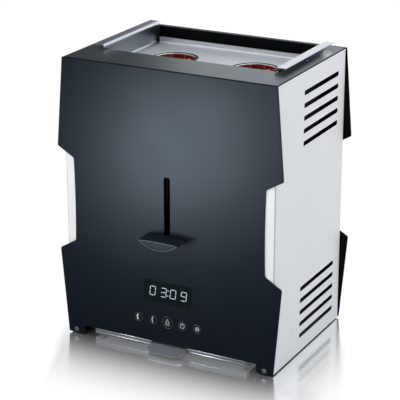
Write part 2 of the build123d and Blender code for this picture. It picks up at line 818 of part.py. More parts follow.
def button_switches():
    """One switch on the control board behind each button."""
    half = switch_size / 2
    switches = []
    for _, x, _ in buttons():
        z0 = button_row - half
        switches.append(block(x - half, x + half, board_y - switch_depth, board_y, z0, z0 + switch_size))
    return group(switches)


def board_corners(width, height, centre):
    """Standoff places of a board, as X and Z."""
    x = width / 2 - board_margin
    z = height / 2 - board_margin
    return [(side * x, centre + level * z) for side in (-1, 1) for level in (-1, 1)]


def control_board():
    """Control board behind the front plate, with a hole at each standoff."""
    x = board_width / 2
    z = board_height / 2
    y1 = board_y + board_thickness
    body = block(-x, x, board_y, y1, board_centre - z, board_centre + z)
    for hole_x, hole_z in board_corners(board_width, board_height, board_centre):
        body -= bore(screw_radius, hole_x, hole_z, board_y, y1)
    return body


def board_standoffs():
    """Posts between the front plate and the control board."""
    places = board_corners(board_width, board_height, board_centre)
    return group([pin(standoff_radius, x, z, plate_back, board_y) for x, z in places])


def board_screws():
    """Screws that hold the control board on its posts."""
    y0 = board_y
    y1 = board_y + board_thickness
    screws = []
    for x, z in board_corners(board_width, board_height, board_centre):
        head = pin(screw_head_radius, x, z, y1, y1 + screw_head_height)
        screws.append(head + pin(screw_radius, x, z, y0, y1))
    return group(screws)


def power_board():
    """Power board on the rear heat shield, with a component-free border."""
    x = power_width / 2
    z = power_height / 2
    return block(-x, x, power_board_y, power_face, power_centre - z, power_centre + z)


def power_standoffs():
    """Posts between the rear heat shield and the power board."""
    places = board_corners(power_width, power_height, power_centre)
    y0 = shield_y1 + shield_thickness
    return group([pin(standoff_radius, x, z, y0, power_board_y) for x, z in places])


def on_power_board(size, place):
    """A component's body on the power board's rear face."""
    width, depth, height = size
    x0 = place[0] - width / 2
    z0 = power_centre + place[1] - height / 2
    return block(x0, x0 + width, power_face, power_face + depth, z0, z0 + height)


def cord_gland():
    """Gland that the mains cord would leave the rear plate through."""
    y0 = rear_plate_front - gland_inside
    y1 = rear_y + gland_reach
    body = pin(gland_radius, gland_across, gland_height, rear_plate_front, y1)
    body += pin(gland_rim_radius, gland_across, gland_height, rear_y, y1)
    body += pin(gland_rim_radius, gland_across, gland_height, y0, rear_plate_front)
    return body - bore(gland_bore, gland_across, gland_height, y0, y1)


def plate_screws():
    """Screws through the plates' feet into the side panels' flanges."""
    screws = []
    for x in (-screw_x, screw_x):
        front = pin(screw_head_radius, x, screw_z, front_y - screw_head_height, front_y)
        screws.append(front + pin(screw_radius, x, screw_z, front_y, front_y + screw_length))
        rear = pin(screw_head_radius, x, screw_z, rear_y, rear_y + screw_head_height)
        screws.append(rear + pin(screw_radius, x, screw_z, rear_y - screw_length, rear_y))
    return group(screws)


def bent_pan(x0, x1, y0, y1, z0, z1, radius):
    """A box with its upright corners and its lower edges rounded."""
    body = block(x0, x1, y0, y1, z0, z1)
    return fillet(body.edges().filter_by(Axis.Z) + body.edges().group_by(Axis.Z)[0], radius)


def drip_tray():
    """Drip tray: a shallow pan with a hemmed front wall and a tongue to pull it by."""
    x = tray_width / 2
    t = tray_thickness
    y1 = tray_y0 + tray_depth
    pan = bent_pan(-x, x, tray_y0, y1, tray_z, tray_top, tray_bend)
    body = fillet(pan.edges().group_by(Axis.Z)[-1], tray_rim)
    body -= bent_pan(-x + t, x - t, tray_y0 + t, y1 - t, tray_z + t, tray_top + overcut, tray_bend - t)
    body += block(-x + t, x - t, tray_y0 + t, tray_y0 + tray_hem, tray_top - t, tray_top)
    tongue_y = front_y - tongue_reach
    tongue = block(-tongue_width / 2, tongue_width / 2, tongue_y, tray_y0 + tray_bend, tray_z, tray_z + t)
    tongue = fillet(tongue.edges().filter_by(Axis.Z).sort_by(Axis.Y)[:2], tongue_radius)
    return body + tongue


def parts():
    """Every node's solid, by name."""
    panel = side_panel()
    runner = tray_runner()
    nodes = {
        "front_plate": front_plate(),
        "rear_plate": rear_plate(),
        "left_side_panel": mirror(panel, about=Plane.YZ),
        "right_side_panel": panel,
        "top_frame": top_frame(),
        "base_plate": base_plate(),
        "rubber_feet": rubber_feet(),
        "left_tray_runner": mirror(runner, about=Plane.YZ),
        "right_tray_runner": runner,
        "chamber_deck": chamber_deck(),
        "lower_guide_bracket": guide_bracket(bracket_z0, low_flange_z),
        "upper_guide_bracket": guide_bracket(bracket_z1, bracket_z1),
        "bracket_screws": bracket_screws(),
        "guide_rods": guide_rods(),
        "carriage_bumpers": carriage_bumpers(),
        "control_board": control_board(),
        "board_standoffs": board_standoffs(),
        "board_screws": board_screws(),
        "display_module": display_module(),
        "display_window": display_window(),
        "button_switches": button_switches(),
        "power_board": power_board(),
        "power_standoffs": power_standoffs(),
        "transformer": on_power_board(transformer_size, transformer_place),
        "relays": group([on_power_board(relay_size, place) for place in relay_places]),
        "terminal_block": on_power_board(terminal_size, terminal_place),
        "cord_gland": cord_gland(),
        "plate_screws": plate_screws(),
        "lift_carriage": lift_carriage(),
        "guide_bushes": guide_bushes(),
        "lift_arm_rivets": lift_arm_rivets(),
        "lever_arm": lever_arm(),
        "lever_knob": lever_knob(),
        "insert_tray": insert_tray(),
        "drip_tray": drip_tray(),
    }
    nodes.update(heat_shields())
    for side, across in chambers.items():
        nodes[side + "_reflector"] = reflector(across)
        nodes[side + "_lower_ceramic"] = ceramic_ring(across, ceramic_z0)
        nodes[side + "_upper_ceramic"] = ceramic_ring(across, ceramic_z1)
        nodes[side + "_heater_tubes"] = heater_tubes(across)
        nodes[side + "_cage"] = cage(across)
        nodes[side + "_lift_cup"] = lift_cup(across)
    for name, across, radius in buttons():
        nodes[name] = button(across, radius)
    return nodes


os.makedirs("parts", exist_ok=True)
for name, shape in parts().items():
    export_step(shape, f"parts/{name}.step")
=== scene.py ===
import math

import bmesh
import bpy
from mathutils import Matrix, Vector

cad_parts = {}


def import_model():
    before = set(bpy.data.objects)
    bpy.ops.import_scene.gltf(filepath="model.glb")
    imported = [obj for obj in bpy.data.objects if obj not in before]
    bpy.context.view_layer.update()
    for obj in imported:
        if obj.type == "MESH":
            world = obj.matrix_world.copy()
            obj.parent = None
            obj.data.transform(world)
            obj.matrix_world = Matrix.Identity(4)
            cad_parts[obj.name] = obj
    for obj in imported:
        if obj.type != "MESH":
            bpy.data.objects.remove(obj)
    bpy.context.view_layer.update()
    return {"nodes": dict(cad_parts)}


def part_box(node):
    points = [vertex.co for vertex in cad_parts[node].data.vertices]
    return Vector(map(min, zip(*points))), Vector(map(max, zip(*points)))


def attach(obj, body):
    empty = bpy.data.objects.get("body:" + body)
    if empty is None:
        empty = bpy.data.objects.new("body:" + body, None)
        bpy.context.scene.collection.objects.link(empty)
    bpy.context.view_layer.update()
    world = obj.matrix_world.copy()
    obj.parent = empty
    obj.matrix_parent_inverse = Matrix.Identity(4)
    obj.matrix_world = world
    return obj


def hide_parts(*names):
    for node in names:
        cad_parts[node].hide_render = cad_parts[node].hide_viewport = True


# Looks of an upright two-chamber sausage grill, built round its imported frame.
# Metres, +Z up, front at -Y.

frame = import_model()
nodes = frame["nodes"]

# Places read from the frame
front_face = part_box("front_plate")[0].y
rear_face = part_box("rear_plate")[1].y
plate_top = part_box("front_plate")[1].z
panel_middle = (front_face + rear_face) / 2
plate_half_depth = (rear_face - front_face) / 2  # from there to a plate's face
panel_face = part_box("right_side_panel")[1].x  # outer face, which the left panel mirrors
rail_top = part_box("insert_tray")[1].z
tray_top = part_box("drip_tray")[1].z

# Display
digit_height = 0.0134
digit_width = 0.0078  # between the middles of a digit's upright segments
digit_stroke = 0.0011
digit_gap = 0.00018  # between the ends of neighbouring segments
digit_slant = math.radians(6.0)
digit_places = (-0.0222, -0.0061, 0.0079, 0.0238)  # from the window's middle
digit_lift = 0.0006  # above it
colon_place = 0.0005
colon_dot = 0.00075  # radius
colon_reach = 0.0036  # above and below the digits' middle
shown_time = "0309"

# The shown segments of each digit, counted from the top: top, upper left, upper right, middle,
# lower left, lower right, bottom
segments_of = {
    "0": (0, 1, 2, 4, 5, 6),
    "3": (0, 2, 3, 5, 6),
    "9": (0, 1, 2, 3, 5, 6),
}

# Buttons
print_thickness = 0.00004  # printed signs stand this far off their button
ring_width = 0.0010  # raised bead round a button
ring_height = 0.00035
ring_inset = 0.0002
ring_steps = 6
sign_size = 0.0042  # half the height of a button's sign
sign_stroke = 0.00075
sign_arc = 1.25 * sign_size  # radius
bar_rounding = 0.35  # of a bar's width

# Screws
screw_dome = 0.00075
screw_socket = 0.45  # of the head's radius
screw_socket_depth = 0.0009
screw_bite = 0.7  # most that its dome or socket takes of a head's height
shank_radius = 0.0016
shank_length = 0.0085
frame_screw_radius = 0.0024
frame_screw_height = 0.0011
frame_screw_across = 0.1325
frame_screw_y = 0.032

# Lever knob
knob_rim_top = 0.0005  # flat rim round the knob's sunk front
knob_rim_low = 0.0008
knob_rim_end = 0.0016
knob_dish = 0.0007  # depth of the sunk front
knob_rim_depth = 0.9 * knob_dish  # the rim's painted highlight ends here
knob_rim_lean = 0.3  # the painted highlight is on faces that lean to the front by this, and not up
knob_tint = (0.82, 0.94, 1.0)  # of its gloss

# Insert
insert_floor_depth = 0.027  # from the rails' top to the insert's floor
bend_line_across = 0.1242  # painted shade line along each rail's inner bend, between its two highlights
bend_line_half = 0.0003  # half its width
bend_line_drop = 0.0020  # under the rails' top
bend_line_shade = 0.5
satin_across = 0.112  # the floor between the rails' walls is less polished
satin_blur = 0.004
red_glow_depth = 0.0004  # the heaters' painted red glow starts this far under the floor
red_glow_blur = 0.0002
wall_across = 0.1195  # the insert's walls, painted darker as shade, between the bends at the floor and at the rail
wall_foot = 0.0017
wall_foot_blur = 0.0005
wall_head = 0.0018
wall_head_blur = 0.0004

# Drip tray
tray_sheet = 0.0010  # thickness of the front wall
tray_rim = 0.0020  # height of the polished edge round the satin inside
tongue_clear = 0.002  # what stands out from the front wall by more than this is the tongue
hem_end = 0.003  # the hem stops this far from the wall's ends
hem_slope = 0.25  # how far it stands out, over its height
hem_bands = ((0.0001, 0.0018), (0.0045, 0.0065))  # upper and lower edge of a fold, under the top
hem_sheet = 0.0004
hem_rounding = 0.00012
pull_gap = 0.0008  # between the hem and the pull
pull_edge = 0.0005  # thickness of the pull's front edge, over the tongue
pull_drop = 0.0004  # from the tray's upper edge to the pull's

# Heaters
coil_radius = 0.0020  # heater coil, in its glass tube
coil_wire = 0.0005  # radius
coil_pitch = 0.0018
coil_end_gap = 0.003  # from a tube's end to its coil

# Where the painted shade lies: a dull black in recesses, vents and gaps
plate_shade_depth = 0.0013  # painted shade starts this far behind a plate's face
plate_edge = 0.0002  # and as the gap's shade in this strip under a plate's upper edge
frame_shade_depth = 0.0010  # painted shade starts this far under the frame's upper face
frame_front_joint = 0.0012  # painted shade of the gaps along the frame's front and sides
frame_side_joint = 0.0010
panel_shade_depth = 0.0003  # painted shade starts this far behind a panel's outer face
flange_place = 0.00265  # a panel's flange, behind the plate's face
flange_blur = 0.00015
joint_place = 0.00425  # the painted shade along the flange's joint, behind the plate's face
joint_place_blur = 0.00025
joint_depth = (0.00085, 0.00145)  # and behind the panel's face
joint_depth_blur = 0.00005
joint_shade = 0.6

# Modelling
near = 0.0001  # points closer than this to a face lie on it
merge_gap = 0.00001  # points closer than this are one
facing = 0.9  # a face looks along an axis if this much of its normal does
square_on = 0.999  # and squarely so from here
edge_blur = 0.0001  # half the width of the soft edge between two finishes

# Camera
camera_target = Vector((-0.0030, 0.0, 0.1846))
camera_turn = math.radians(27.69)  # to the right of the front
camera_pitch = math.radians(19.80)
camera_distance = 2.117
camera_lens = 143.2
sensor_width = 36.0

# Studio
floor_size = 30.0
floor_tone = (0.90, 0.90, 0.90)
floor_roughness = 0.17
mirror_strength = 0.9
mirror_reach = 0.22  # how far from its foot the floor mirrors the object
shade_lean = 0.5  # how far the object's shade leans to the right, over its way to the front
shade_reach_left = 0.022  # where the shade ends, on its left, on its right and in front
shade_reach_right = 0.12
shade_reach_front = 0.17
dim_tone = (0.30, 0.30, 0.30)  # of the floor beside the object, as mirrors show it
dim_reach = 1.2
white = (1.0, 1.0, 1.0)
cool_white = (0.91, 0.96, 1.0)
world_strength = 0.55
card_tone = (0.05, 0.06, 0.07)
rear_card = ((-1.6, 0.62, 0.45), (-0.385, 0.62, 1.5))  # behind on the left: the top mirrors it
front_card = ((-1.8, -1.0, 0.26), (0.5, -1.0, 2.0))  # in front: the plate and the tray mirror it


def shade(*display):
    """A colour given as display values from 0 to 255, in linear light."""
    return tuple(((c / 255 + 0.055) / 1.055) ** 2.4 if c > 10 else c / 255 / 12.92 for c in display)


class Wire:
    """One output of a node. Python sums on it add Math nodes to its tree."""

    def __init__(self, finish, socket):
        self.finish = finish
        self.socket = socket

    def maths(self, operation, *values):
        return self.finish.node("ShaderNodeMath", {"operation": operation}, dict(enumerate(values)))

    def __add__(self, other):
        return self.maths("ADD", self, other)

    def __radd__(self, other):
        return self.maths("ADD", other, self)

    def __sub__(self, other):
        return self.maths("SUBTRACT", self, other)

    def __rsub__(self, other):
        return self.maths("SUBTRACT", other, self)

    def __mul__(self, other):
        return self.maths("MULTIPLY", self, other)

    def __rmul__(self, other):
        return self.maths("MULTIPLY", other, self)

    def __truediv__(self, other):
        return self.maths("DIVIDE", self, other)

    def __rtruediv__(self, other):
        return self.maths("DIVIDE", other, self)

    def __abs__(self):
        return self.maths("ABSOLUTE", self)

    def root(self):
        return self.maths("SQRT", self)

    def larger(self, other):
        return self.maths("MAXIMUM", self, other)

    def fade(self, low, high):
        """0 below low and 1 above high, with a smooth step between them."""
        settings = {"interpolation_type": "SMOOTHSTEP"}
        return self.finish.node("ShaderNodeMapRange", settings, {0: self, 1: low, 2: high})

    def past(self, limit, blur=edge_blur):
        """0 before a limit and 1 past it, with a soft edge."""
        return self.fade(limit - blur, limit + blur)


class Finish:
    """A node tree under construction: a material's or the world's."""

    def __init__(self, owner):
        owner.use_nodes = True
        self.owner = owner
        self.tree = owner.node_tree
        self.tree.nodes.clear()

    def node(self, kind, settings=None, sockets=None, output=0):
        """Adds a node: its settings first, then its sockets' values or links. Returns one output."""
        made = self.tree.nodes.new(kind)
        for key, value in (settings or {}).items():
            setattr(made, key, value)
        for key, value in (sockets or {}).items():
            socket = made.inputs[key]
            if isinstance(value, Wire):
                self.tree.links.new(value.socket, socket)
            elif socket.type == "RGBA" and len(value) == 3:
                socket.default_value = (*value, 1.0)
            else:
                socket.default_value = value
        return Wire(self, made.outputs[output])

    def place(self, stretch=(1.0, 1.0, 1.0), turn=(0.0, 0.0, 0.0)):
        """Object coordinates, turned, and stretched along each axis."""
        where = self.node("ShaderNodeTexCoord", output="Object")
        sockets = {"Vector": where, "Rotation": turn, "Scale": stretch}
        return self.node("ShaderNodeMapping", {}, sockets)

    def axis(self, index):
        """One coordinate of the object's own frame, in metres."""
        where = self.node("ShaderNodeTexCoord", output="Object")
        return self.node("ShaderNodeSeparateXYZ", {}, {0: where}, index)

    def noise(self, scale, detail=2.0, stretch=(1.0, 1.0, 1.0)):
        sockets = {"Vector": self.place(stretch), "Scale": scale, "Detail": detail}
        return self.node("ShaderNodeTexNoise", {}, sockets)

    def mix(self, factor, first, second):
        """A colour between two others."""
        sockets = {0: factor, 6: first, 7: second}
        return self.node("ShaderNodeMix", {"data_type": "RGBA"}, sockets, 2)

    def bump(self, height, distance, strength=1.0):
        sockets = {"Strength": strength, "Distance": distance, "Height": height}
        return self.node("ShaderNodeBump", {}, sockets)

    def ray(self, kind):
        """1 where the looking ray is of a kind."""
        return self.node("ShaderNodeLightPath", output=kind)

    def principled(self, sockets):
        return self.node("ShaderNodeBsdfPrincipled", {}, sockets)

    def glossy(self, colour, roughness):
        return self.node("ShaderNodeBsdfGlossy", {}, {"Color": colour, "Roughness": roughness})

    def emission(self, colour):
        return self.node("ShaderNodeEmission", {}, {"Color": colour})

    def background(self, colour, strength=1.0):
        return self.node("ShaderNodeBackground", {}, {"Color": colour, "Strength": strength})

    def blend(self, factor, first, second):
        """A shader between two others."""
        return self.node("ShaderNodeMixShader", {}, {0: factor, 1: first, 2: second})

    def output(self, shader, kind="ShaderNodeOutputMaterial"):
        self.tree.links.new(shader.socket, self.tree.nodes.new(kind).inputs["Surface"])
        return self.owner

    def surface(self, sockets):
        """Ends the material in one principled surface."""
        return self.output(self.principled(sockets))


def finish_named(name):
    return Finish(bpy.data.materials.new(name))


# Painted sheet


def coat(name, dark, light, roughness, specular, shade_mask, tint=white, lacquer=0.0):
    """Satin powder coat: slow clouds in its colour and gloss, and a fine orange peel.

    Where the shade mask is 1 the sheet is a dull black: painted shade in recesses, vents and gaps,
    and on hidden inner faces.
    """
    finish = finish_named(name)
    cloud = finish.noise(scale=22.0, detail=3.0)
    speck = finish.noise(scale=5200.0, detail=1.0)
    peel = finish.noise(scale=900.0)
    painted = finish.principled({
        "Base Color": finish.mix(0.7 * cloud + 0.3 * speck, dark, light),
        "Roughness": roughness - 0.03 + 0.06 * cloud,
        "Specular IOR Level": specular,
        "Specular Tint": tint,
        "Coat Weight": lacquer,
        "Coat Roughness": roughness,
        "Normal": finish.bump(peel, distance=0.00001),
    })
    # Painted shade: a dull black for the recesses, vents and gaps.
    black = finish.principled({
        "Base Color": finish.mix(cloud, shade(7, 8, 10), shade(13, 14, 16)),
        "Roughness": 0.7 + 0.2 * cloud,
        "Specular IOR Level": 0.05,
    })
    return finish.output(finish.blend(shade_mask(finish), painted, black))


def plate_paint():
    return coat(
        "plate_paint", shade(12, 19, 27), shade(15, 23, 31),
        roughness=0.38, specular=0.106, shade_mask=plate_shade_mask, tint=(0.70, 0.86, 1.0),
    )


def plate_shade_mask(finish):
    """Painted shade: dull black on the plates' inner faces, and along their upper edge as the dark
    gap under the frame.
    """
    depth = plate_half_depth - abs(finish.axis(1) - panel_middle)
    # Painted shade of the gap between the plate and the frame, as a black strip along the plate's
    # upper edge.
    edge = finish.axis(2).past(plate_top - plate_edge)
    return depth.past(plate_shade_depth).larger(edge)


def frame_paint():
    return coat(
        "frame_paint", shade(12, 18, 25), shade(17, 24, 31),
        roughness=0.38, specular=0.50, shade_mask=frame_shade_mask, tint=(0.80, 0.93, 1.0), lacquer=0.7,
    )


def frame_shade_mask(finish):
    """Painted shade: dull black in the recess under the frame's upper face, and in the gaps along
    its front and sides.
    """
    low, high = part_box("top_frame")
    under = (high.z - finish.axis(2)).past(frame_shade_depth)
    # Painted shade of the gaps between the frame and the plate and panels.
    front = 1.0 - (finish.axis(1) - low.y).past(frame_front_joint)
    side = abs(finish.axis(0)).past(high.x - frame_side_joint)
    return under.larger(front).larger(side)


def panel_paint():
    return coat(
        "panel_paint", shade(223, 227, 230), shade(231, 235, 238),
        roughness=0.42, specular=0.30, shade_mask=panel_shade_mask,
    )


def panel_shade_mask(finish):
    """Painted shade: dull black behind a panel's outer face, on the vents' edges, and a darker line
    along the joint of its flange.
    """
    depth = panel_face - abs(finish.axis(0))
    along = abs(finish.axis(1) - panel_middle)
    flange = along.past(plate_half_depth - flange_place, flange_blur)
    behind = depth.past(panel_shade_depth) * (1.0 - flange)
    # Painted shade of the hairline gap at the flange's joint.
    joint = along.past(plate_half_depth - joint_place, joint_place_blur)
    joint = joint * depth.past(joint_depth[0], joint_depth_blur)
    joint = joint * (1.0 - depth.past(joint_depth[1], joint_depth_blur))
    return behind.larger(joint_shade * joint)


# Bare metal


def brushed(finish, tone, roughness, stains=()):
    """Brushed steel, with its scratches along X.

    Each stain is a mask and the colour that the steel has where the mask is 1.
    """
    scratch = (9.0, 900.0, 900.0)
    fine = finish.noise(scale=1.0, detail=4.0, stretch=scratch)
    wide = finish.noise(scale=1.0, stretch=[s / 9 for s in scratch])
    cloud = finish.noise(scale=30.0)
    colour = finish.mix(fine, tuple(0.86 * c for c in tone), tone)
    for mask, stain in stains:
        colour = finish.mix(mask, colour, stain)
    return finish.surface({
        "Base Color": colour,
        "Metallic": 1.0,
        "Roughness": roughness - 0.09 + 0.12 * fine + 0.06 * cloud,
        "Normal": finish.bump(fine + wide, distance=0.000012, strength=0.6),
    })


def insert_steel():
    """Satin on the floor, with painted light and shade: a darker tone on the walls, a dark line
    along each rail's bend, and the heaters' glow painted on the hole edges under the floor.
    """
    finish = finish_named("insert_steel")
    across = abs(finish.axis(0))
    level = finish.axis(2)
    floor_level = rail_top - insert_floor_depth
    bend_level = rail_top - bend_line_drop
    satin = 1.0 - across.fade(satin_across, satin_across + satin_blur)
    # Painted shade: a dark line along each rail's bend, between the bend's two highlights.
    bend_line = 1.0 - abs(across - bend_line_across).past(bend_line_half)
    bend_line = bend_line * level.fade(bend_level, bend_level + edge_blur)
    # Painted light: the hole edges under the floor are coloured as if lit by the heaters' glow.
    red = (floor_level - level).past(red_glow_depth, red_glow_blur)
    red = red.larger(bend_line_shade * bend_line)
    # Painted shade: the insert's walls get a darker steel tone.
    wall = across.past(wall_across, wall_foot_blur)
    wall = wall * level.past(floor_level + wall_foot, wall_foot_blur)
    wall = wall * (1.0 - level.past(bend_level - wall_head, wall_head_blur))
    stains = [(wall, shade(146, 151, 157)), (red, shade(92, 24, 24))]
    return brushed(finish, shade(231, 233, 236), 0.31 + 0.13 * satin, stains)


def tray_wall_y():
    """The front wall's outer face: the foremost points of the tray's upper half."""
    low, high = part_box("drip_tray")
    upper = (low.z + high.z) / 2
    return min(p.co.y for p in nodes["drip_tray"].data.vertices if p.co.z > upper)


def tray_steel():
    """Polished in front, and satin where the fat drips; the front's darker tone than the inside is
    painted shade.
    """
    finish = finish_named("tray_steel")
    behind = finish.axis(1).past(tray_wall_y() + tray_sheet)
    inside = behind * (1.0 - finish.axis(2).past(tray_top - tray_rim))
    stains = [(inside, shade(214, 218, 222))]
    return brushed(finish, shade(158, 163, 168), 0.30 + 0.26 * inside, stains)


def pull_steel():
    return brushed(finish_named("pull_steel"), shade(190, 196, 202), roughness=0.52)


def drawn_metal(name, tone, roughness):
    """Wire, rods and turned pieces: bright metal with a faint drawn grain."""
    finish = finish_named(name)
    grain = finish.noise(scale=1.0, stretch=(2500.0, 2500.0, 60.0))
    return finish.surface({
        "Base Color": finish.mix(grain, tuple(0.8 * c for c in tone), tone),
        "Metallic": 1.0,
        "Roughness": roughness + 0.08 * grain,
    })


def cage_wire():
    return drawn_metal("cage_wire", shade(214, 216, 218), roughness=0.20)


# Darker than bright rod steel: painted shade for the inside seen through the lever's slot.
def guide_steel():
    return drawn_metal("guide_steel", shade(104, 107, 111), roughness=0.30)


def bush_bronze():
    return drawn_metal("bush_bronze", shade(186, 138, 84), roughness=0.30)


def screw_steel():
    return drawn_metal("screw_steel", shade(150, 154, 158), roughness=0.30)


def galvanised():
    """Zinc-coated sheet: spangled crystals that differ in tone and gloss."""
    finish = finish_named("galvanised")
    settings = {"feature": "F1", "distance": "MINKOWSKI"}
    sockets = {"Vector": finish.place(), "Scale": 85.0, "Randomness": 1.0}
    crystal = finish.node("ShaderNodeTexVoronoi", settings, sockets, "Color")
    tone = finish.node("ShaderNodeSeparateColor", {}, {0: crystal})
    return finish.surface({
        "Base Color": finish.mix(tone, shade(130, 134, 138), shade(178, 182, 186)),
        "Metallic": 1.0,
        "Roughness": 0.38 + 0.2 * tone,
    })


def shield_steel():
    """Dark steel of the shields round the chambers and of the lift: its dark tone is painted shade
    for the casing's inside.
    """
    finish = finish_named("shield_steel")
    cloud = finish.noise(scale=35.0, detail=4.0)
    return finish.surface({
        "Base Color": finish.mix(cloud, shade(20, 21, 23), shade(38, 38, 40)),
        "Roughness": 0.65 + 0.2 * cloud,
        "Specular IOR Level": 0.2,
    })


# Chambers and heaters


def reflector():
    """Polished chamber wall, with the heaters' red light painted into its colour, and a painted
    glow.
    """
    finish = finish_named("reflector")
    streak = finish.noise(scale=1.0, detail=3.0, stretch=(300.0, 300.0, 6.0))
    return finish.surface({
        "Base Color": finish.mix(streak, shade(170, 48, 44), shade(206, 74, 66)),
        "Metallic": 1.0,
        "Roughness": 0.24 + 0.14 * streak,
        # Painted glow: the wall gives off red light, though it is no lamp.
        "Emission Color": shade(120, 10, 12),
        "Emission Strength": 0.35,
    })


def ceramic():
    finish = finish_named("ceramic")
    speck = finish.noise(scale=900.0, detail=3.0)
    return finish.surface({
        "Base Color": finish.mix(speck, shade(206, 196, 182), shade(226, 219, 208)),
        "Roughness": 0.75 + 0.15 * speck,
        "Normal": finish.bump(speck, distance=0.00005),
    })


def quartz():
    """Clear heater tube with a faint red cast, and a gloss towards its edges."""
    finish = finish_named("quartz")
    streak = finish.noise(scale=1.0, stretch=(700.0, 700.0, 8.0))
    clear = finish.node("ShaderNodeBsdfTransparent", {}, {"Color": (0.93, 0.80, 0.79)})
    gloss = finish.glossy((0.8, 0.4, 0.4), 0.06 + 0.06 * streak)
    edge = finish.node("ShaderNodeFresnel", {}, {"IOR": 1.25})
    return finish.output(finish.blend(edge, clear, gloss))


def hot_coil():
    """Glowing resistance wire, hotter in the middle of its length."""
    finish = finish_named("hot_coil")
    low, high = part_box("left_heater_tubes")
    middle = (low.z + high.z) / 2
    cooler = abs(finish.axis(2) - middle).fade(0.0, (high.z - low.z) / 2)
    return finish.surface({
        "Base Color": shade(70, 30, 26),
        "Roughness": 0.6 + 0.1 * cooler,
        "Emission Color": finish.mix(cooler, shade(255, 138, 126), shade(240, 112, 106)),
        "Emission Strength": 1.0,
    })


# Plastics, boards and prints


def moulded(name, dark, light, roughness, specular=0.5, tint=white):
    """Moulded plastic with a fine spark-eroded grain."""
    finish = finish_named(name)
    grain = finish.noise(scale=2600.0)
    cloud = finish.noise(scale=60.0)
    return finish.surface({
        "Base Color": finish.mix(cloud, dark, light),
        "Roughness": roughness - 0.03 + 0.06 * grain,
        "Specular IOR Level": specular,
        "Specular Tint": tint,
        "Normal": finish.bump(grain, distance=0.000006),
    })


def knob_plastic():
    dark, light = shade(20, 28, 36), shade(26, 34, 43)
    return moulded("knob_plastic", dark, light, roughness=0.42, specular=0.10, tint=knob_tint)


def knob_rim_highlight():
    """The knob's rim, painted paler as a highlight."""
    dark, light = shade(66, 76, 86), shade(78, 88, 98)
    return moulded("knob_rim_highlight", dark, light, roughness=0.40, specular=0.16, tint=knob_tint)


def button_plastic():
    dark, light = shade(14, 21, 25), shade(18, 26, 30)
    return moulded("button_plastic", dark, light, roughness=0.38, specular=0.12)


# Lighter than the button's plastic: a painted highlight on the bead, besides its real gloss.
def ring_plastic():
    dark, light = shade(30, 38, 44), shade(38, 46, 52)
    return moulded("ring_plastic", dark, light, roughness=0.30)


def window_plastic():
    dark, light = shade(7, 18, 22), shade(9, 21, 26)
    return moulded("window_plastic", dark, light, roughness=0.14, specular=0.15)


def display():
    dark, light = shade(16, 18, 20), shade(22, 24, 26)
    return moulded("display", dark, light, roughness=0.40)


def rubber():
    dark, light = shade(24, 24, 25), shade(34, 34, 35)
    return moulded("rubber", dark, light, roughness=0.80, specular=0.3)


def component():
    dark, light = shade(30, 32, 36), shade(44, 46, 50)
    return moulded("component", dark, light, roughness=0.45)


def circuit_board():
    """Green solder mask over a grid of tracks."""
    finish = finish_named("circuit_board")
    sockets = {
        "Vector": finish.place(turn=(math.radians(90), 0.0, 0.0)),
        "Scale": 120.0,
        "Mortar Size": 0.03,
        "Color1": shade(22, 86, 52),
        "Color2": shade(18, 76, 46),
        "Mortar": shade(46, 124, 80),
    }
    colour = finish.node("ShaderNodeTexBrick", {}, sockets, "Color")
    track = finish.node("ShaderNodeTexBrick", {}, sockets, "Fac")
    return finish.surface({"Base Color": colour, "Roughness": 0.35 + 0.1 * track})


def lit_segments():
    """Glowing bars of the display's digits."""
    finish = finish_named("lit_segments")
    cloud = finish.noise(scale=900.0, detail=1.0)
    return finish.surface({
        "Base Color": shade(20, 26, 30),
        "Roughness": 0.4,
        "Emission Color": finish.mix(cloud, shade(176, 196, 208), shade(206, 221, 230)),
        "Emission Strength": 1.0,
    })


def sign_print():
    """Pale ink of the buttons' signs."""
    finish = finish_named("sign_print")
    grain = finish.noise(scale=3000.0, detail=1.0)
    return finish.surface({
        "Base Color": finish.mix(grain, shade(172, 179, 184), shade(192, 198, 202)),
        "Roughness": 0.5 + 0.1 * grain,
    })


# The frame's pieces and their finishes

worn_by = {
    plate_paint: ["front_plate", "rear_plate"],
    frame_paint: ["top_frame"],
    panel_paint: ["left_side_panel", "right_side_panel"],
    insert_steel: ["insert_tray"],
    cage_wire: ["left_cage", "right_cage"],
    tray_steel: ["drip_tray"],
    galvanised: [
        "base_plate", "chamber_deck", "left_tray_runner", "right_tray_runner",
        "left_lift_cup", "right_lift_cup",
    ],
    shield_steel: [
        "front_heat_shield", "rear_heat_shield", "left_heat_shield", "right_heat_shield",
        "lower_guide_bracket", "upper_guide_bracket", "lift_carriage", "lever_arm",
    ],
    reflector: ["left_reflector", "right_reflector"],
    ceramic: [
        "left_lower_ceramic", "right_lower_ceramic", "left_upper_ceramic", "right_upper_ceramic",
    ],
    quartz: ["left_heater_tubes", "right_heater_tubes"],
    knob_plastic: ["lever_knob", "cord_gland"],
    button_plastic: ["dark_button", "light_button", "start_button", "timer_button", "warm_button"],
    window_plastic: ["display_window"],
    display: ["display_module"],
    rubber: ["rubber_feet", "carriage_bumpers"],
    circuit_board: ["control_board", "power_board"],
    component: ["transformer", "relays", "terminal_block", "button_switches"],
    screw_steel: ["plate_screws", "bracket_screws", "board_screws", "lift_arm_rivets"],
    guide_steel: ["guide_rods", "board_standoffs", "power_standoffs"],
    bush_bronze: ["guide_bushes"],
}


def dress(piece, material):
    piece.data.materials.clear()
    piece.data.materials.append(material)


finishes = {}
for make, names in worn_by.items():
    finishes[make.__name__] = make()
    for name in names:
        dress(nodes[name], finishes[make.__name__])


# Modelling helpers

facing_front = Matrix.Rotation(math.radians(90), 4, "X")  # turns a shape drawn on XY to face -Y
facing_back = Matrix.Rotation(math.radians(-90), 4, "X")


